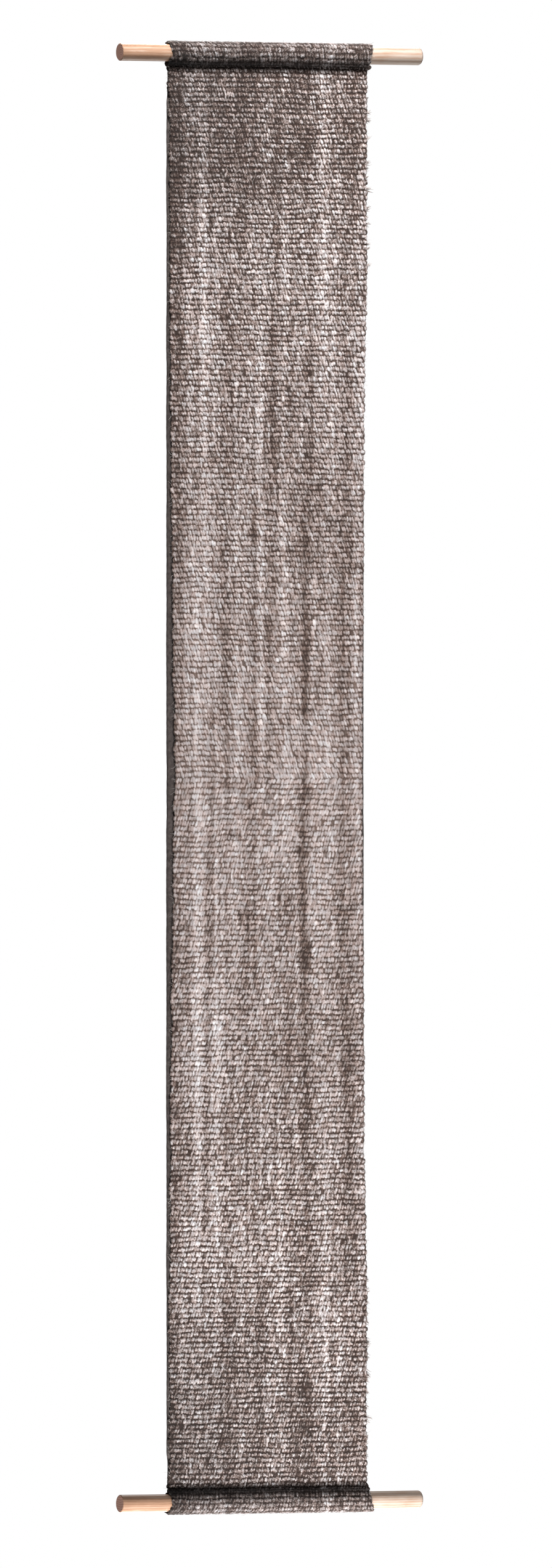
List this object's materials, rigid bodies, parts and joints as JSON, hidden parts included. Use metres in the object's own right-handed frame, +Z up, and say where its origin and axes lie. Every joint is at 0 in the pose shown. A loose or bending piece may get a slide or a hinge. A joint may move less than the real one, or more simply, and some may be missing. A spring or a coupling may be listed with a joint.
{
  "type": "tapestry wall hanging",
  "caption": "Long narrow wall hanging of thick handwoven wool, with a thin dark lining, that hangs from a wooden dowel and is weighed down by another one.",
  "frame": {"origin": "middle of the top dowel's axis", "axes": "+X along the dowels to the viewer's right, -Y towards the viewer, +Z up"},
  "size_m": [0.48, 0.0352, 2.0952],
  "materials": {
    "wood": "satin, lightly sanded",
    "wool": "matt, fuzzy",
    "lining": "matt",
    "thread": "matt"
  },
  "bodies": {
    "hung_dowel": {"top_dowel": "wood"},
    "casing_body": {"top_casing": "wool"},
    "top_length": {"panel_top": "wool", "lining_top": "lining", "lining_thread_top": "thread", "top_hem": "wool", "top_seam_thread": "thread"},
    "upper_length": {"panel_upper": "wool", "lining_upper": "lining", "lining_thread_upper": "thread"},
    "lower_length": {"panel_lower": "wool", "lining_lower": "lining", "lining_thread_lower": "thread"},
    "bottom_length": {"panel_bottom": "wool", "lining_bottom": "lining", "lining_thread_bottom": "thread", "bottom_hem": "wool", "bottom_seam_thread": "thread", "bottom_casing": "wool"},
    "weight_dowel": {"bottom_dowel": "wood"}
  },
  "joints": [
    {"name": "casing_slide", "type": "slide", "parent": "hung_dowel", "child": "casing_body", "axis": [1, 0, 0], "range_m": [-0.07, 0.07]},
    {"name": "cloth_swing", "type": "hinge", "parent": "casing_body", "child": "top_length", "pos_m": [0, 0, 0], "axis": [1, 0, 0], "range_deg": [-60, 60]},
    {"name": "upper_fold", "type": "hinge", "parent": "top_length", "child": "upper_length", "pos_m": [0, 0, -0.515], "axis": [1, 0, 0], "range_deg": [-60, 60]},
    {"name": "middle_fold", "type": "hinge", "parent": "upper_length", "child": "lower_length", "pos_m": [0, 0, -1.03], "axis": [1, 0, 0], "range_deg": [-60, 60]},
    {"name": "lower_fold", "type": "hinge", "parent": "lower_length", "child": "bottom_length", "pos_m": [0, 0, -1.545], "axis": [1, 0, 0], "range_deg": [-60, 60]},
    {"name": "weight_dowel_slide", "type": "slide", "parent": "bottom_length", "child": "weight_dowel", "axis": [1, 0, 0], "range_m": [-0.41, 0.41]}
  ]
}
